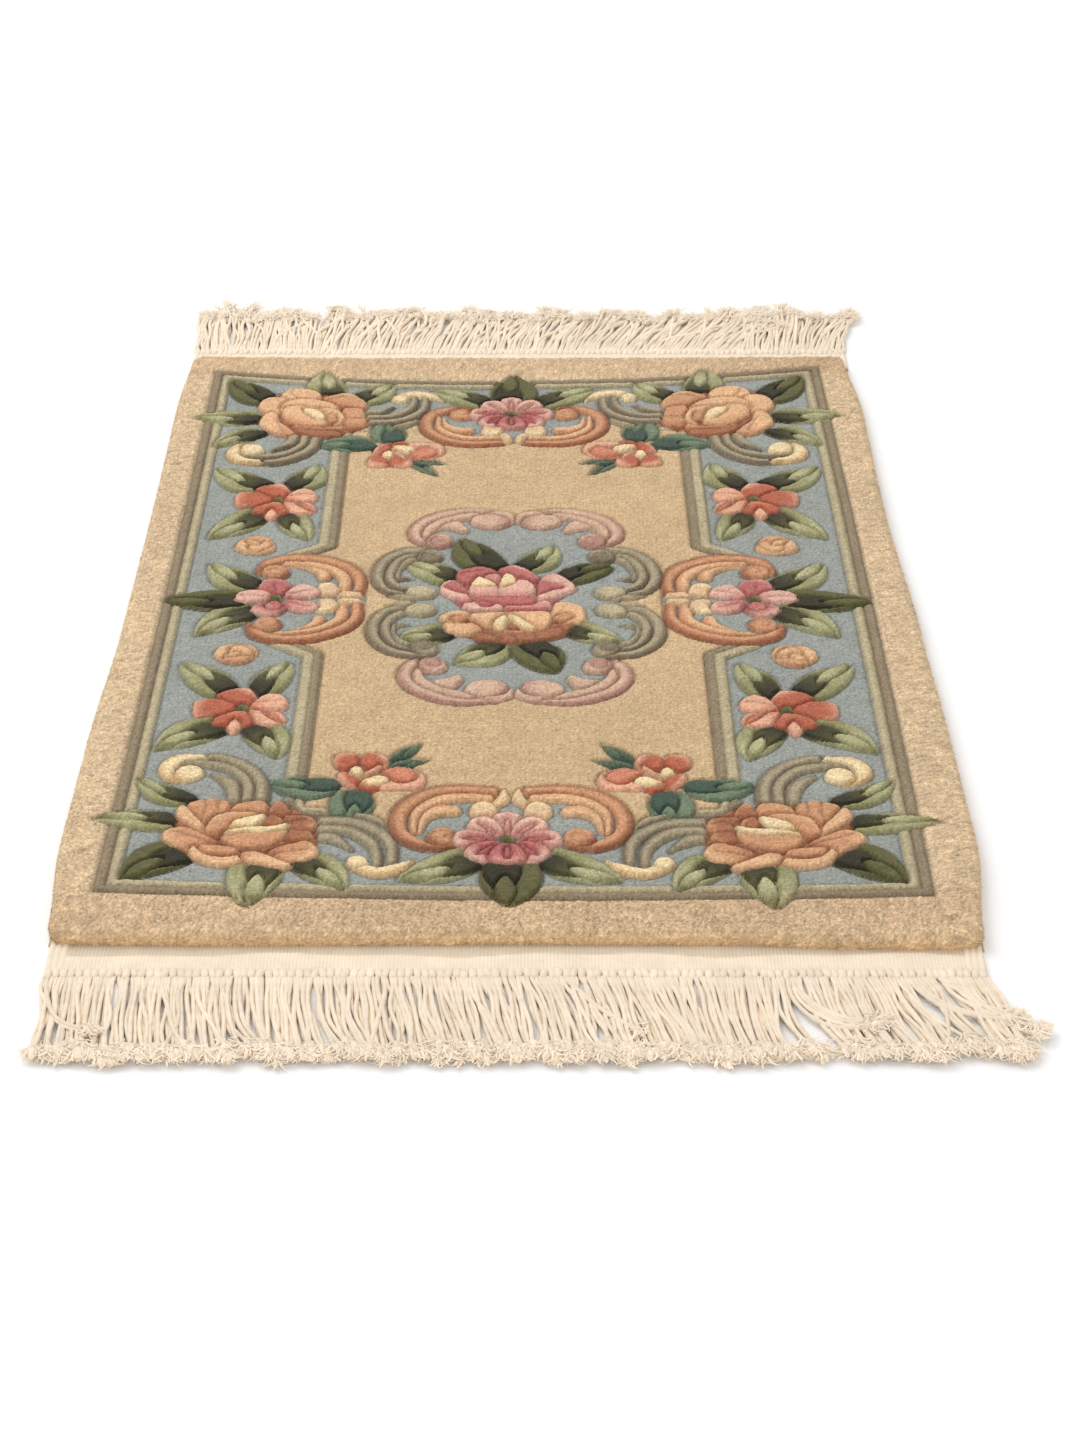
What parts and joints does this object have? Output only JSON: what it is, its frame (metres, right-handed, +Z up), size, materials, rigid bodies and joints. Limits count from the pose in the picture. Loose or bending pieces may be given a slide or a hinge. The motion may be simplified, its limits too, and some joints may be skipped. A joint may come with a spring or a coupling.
{
  "type": "carved wool rug",
  "caption": "Rectangular hand-knotted wool rug with a carved floral border, corner scrolls and a medallion, and a knotted cotton fringe at each end.",
  "frame": {"origin": "middle of the rug's flat underside, on the floor", "axes": "+X across the rug, +Y along it towards the far fringe, +Z up out of the pile"},
  "size_m": [0.622, 1.1816, 0.0156],
  "materials": {
    "wool_beige": "cut wool pile, matt",
    "cotton_cream": "twisted cotton, matt"
  },
  "bodies": {
    "root": {"rug_body": "wool_beige", "near_fringe": "cotton_cream", "far_fringe": "cotton_cream"}
  },
  "joints": []
}
